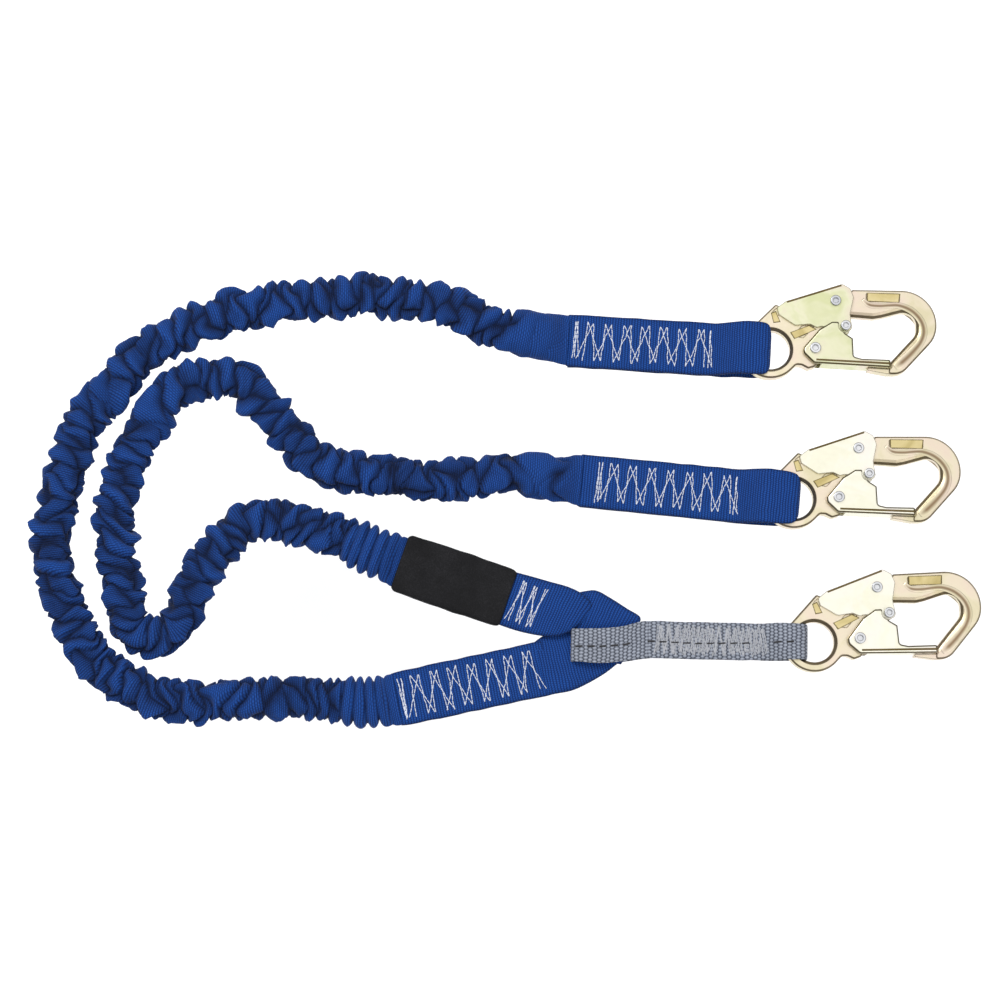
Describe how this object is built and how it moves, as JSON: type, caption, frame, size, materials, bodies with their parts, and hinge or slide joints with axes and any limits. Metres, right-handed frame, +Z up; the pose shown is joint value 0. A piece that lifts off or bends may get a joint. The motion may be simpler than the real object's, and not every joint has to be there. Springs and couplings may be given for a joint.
{
  "type": "shock absorbing lanyard",
  "caption": "Twin-leg shock absorbing lanyard with elastic blue webbing legs, sewn ends and locking snap hooks, joined by a grey harness strap.",
  "frame": {"origin": "on the plane the lanyard rests on, under the centre of the bounding box of everything but the two elastic legs", "axes": "+X from the looped legs towards the snap hooks, +Y from the harness strap towards the upper leg hook, +Z up out of the plane it lies on"},
  "size_m": [0.6429, 0.3112, 0.0216],
  "materials": {
    "blue_webbing": "ribbed weave",
    "core_yarn": "soft",
    "white_thread": "soft",
    "black_sleeve": "fine texture",
    "grey_webbing": "ribbed weave",
    "grey_thread": "soft",
    "tracer_yarn": "soft",
    "plated_steel": "yellow zinc plate",
    "rivet_steel": "plain zinc plate",
    "spring_steel": "plain"
  },
  "bodies": {
    "webbing": {"leg_a_jacket": "blue_webbing", "leg_a_core": "core_yarn", "leg_a_end_strap": "blue_webbing", "leg_a_end_stitching": "white_thread", "leg_b_jacket": "blue_webbing", "leg_b_core": "core_yarn", "leg_b_end_strap": "blue_webbing", "leg_b_end_stitching": "white_thread", "lower_branch_strap": "blue_webbing", "lower_branch_stitching": "white_thread", "upper_branch_strap": "blue_webbing", "upper_branch_stitching": "white_thread", "branch_sleeve": "black_sleeve", "webbing_bight": "blue_webbing", "grey_loop": "grey_webbing"},
    "harness_strap": {"harness_strap": "grey_webbing", "harness_tracer": "tracer_yarn", "harness_stitching": "grey_thread"},
    "hook_a": {"hook_a_body": "plated_steel", "hook_a_gate_rivet": "rivet_steel", "hook_a_gate_spring": "spring_steel", "hook_a_lever_rivet": "rivet_steel", "hook_a_lever_spring": "spring_steel", "leg_a_eye_loop": "blue_webbing"},
    "gate_a": {"hook_a_gate": "plated_steel"},
    "lever_a": {"hook_a_lock_lever": "plated_steel", "hook_a_lock_pin": "rivet_steel"},
    "hook_b": {"hook_b_body": "plated_steel", "hook_b_gate_rivet": "rivet_steel", "hook_b_gate_spring": "spring_steel", "hook_b_lever_rivet": "rivet_steel", "hook_b_lever_spring": "spring_steel", "leg_b_eye_loop": "blue_webbing"},
    "gate_b": {"hook_b_gate": "plated_steel"},
    "lever_b": {"hook_b_lock_lever": "plated_steel", "hook_b_lock_pin": "rivet_steel"},
    "hook_c": {"hook_c_body": "plated_steel", "hook_c_gate_rivet": "rivet_steel", "hook_c_gate_spring": "spring_steel", "hook_c_lever_rivet": "rivet_steel", "hook_c_lever_spring": "spring_steel", "harness_eye_loop": "grey_webbing"},
    "gate_c": {"hook_c_gate": "plated_steel"},
    "lever_c": {"hook_c_lock_lever": "plated_steel", "hook_c_lock_pin": "rivet_steel"}
  },
  "joints": [
    {"name": "harness_bend", "type": "hinge", "parent": "webbing", "child": "harness_strap", "pos_m": [-0.027, -0.0936, 0.00375], "axis": [0.025, 0.9997, 0], "range_deg": [-60, 60]},
    {"name": "hook_a_bend", "type": "hinge", "parent": "webbing", "child": "hook_a", "pos_m": [0.02457, 0.10763, 0.003], "axis": [0.0637, 0.998, 0], "range_deg": [-60, 60]},
    {"name": "gate_a_turn", "type": "hinge", "parent": "hook_a", "child": "gate_a", "pos_m": [0.08981, 0.10547, 0.0108], "axis": [0, 0, 1], "range_deg": [0, 29], "stiffness_Nm_per_rad": 0.25, "springref_deg": -22.92},
    {"name": "lever_a_turn", "type": "hinge", "parent": "hook_a", "child": "lever_a", "pos_m": [0.1048, 0.13931, 0.0108], "axis": [0, 0, 1], "range_deg": [0, 15.66], "stiffness_Nm_per_rad": 0.15, "springref_deg": -22.92},
    {"name": "hook_b_bend", "type": "hinge", "parent": "webbing", "child": "hook_b", "pos_m": [0.03857, 0.0049, 0.003], "axis": [0.1, 0.995, 0], "range_deg": [-60, 60]},
    {"name": "gate_b_turn", "type": "hinge", "parent": "hook_b", "child": "gate_b", "pos_m": [0.1037, 0.002, 0.0108], "axis": [0, 0, 1], "range_deg": [0, 29], "stiffness_Nm_per_rad": 0.25, "springref_deg": -22.92},
    {"name": "lever_b_turn", "type": "hinge", "parent": "hook_b", "child": "lever_b", "pos_m": [0.1181, 0.0361, 0.0108], "axis": [0, 0, 1], "range_deg": [0, 15.66], "stiffness_Nm_per_rad": 0.15, "springref_deg": -22.92},
    {"name": "hook_c_bend", "type": "hinge", "parent": "harness_strap", "child": "hook_c", "pos_m": [0.05051, -0.09553, 0.00375], "axis": [0.025, 0.9997, 0], "range_deg": [-60, 60]},
    {"name": "gate_c_turn", "type": "hinge", "parent": "hook_c", "child": "gate_c", "pos_m": [0.11573, -0.09421, 0.0108], "axis": [0, 0, 1], "range_deg": [0, 29], "stiffness_Nm_per_rad": 0.25, "springref_deg": -22.92},
    {"name": "lever_c_turn", "type": "hinge", "parent": "hook_c", "child": "lever_c", "pos_m": [0.12832, -0.05941, 0.0108], "axis": [0, 0, 1], "range_deg": [0, 15.66], "stiffness_Nm_per_rad": 0.15, "springref_deg": -22.92}
  ],
  "couplings": [
    {"joint": "lever_a_turn", "follows": "gate_a_turn", "ratio": 0.54},
    {"joint": "lever_b_turn", "follows": "gate_b_turn", "ratio": 0.54},
    {"joint": "lever_c_turn", "follows": "gate_c_turn", "ratio": 0.54}
  ]
}
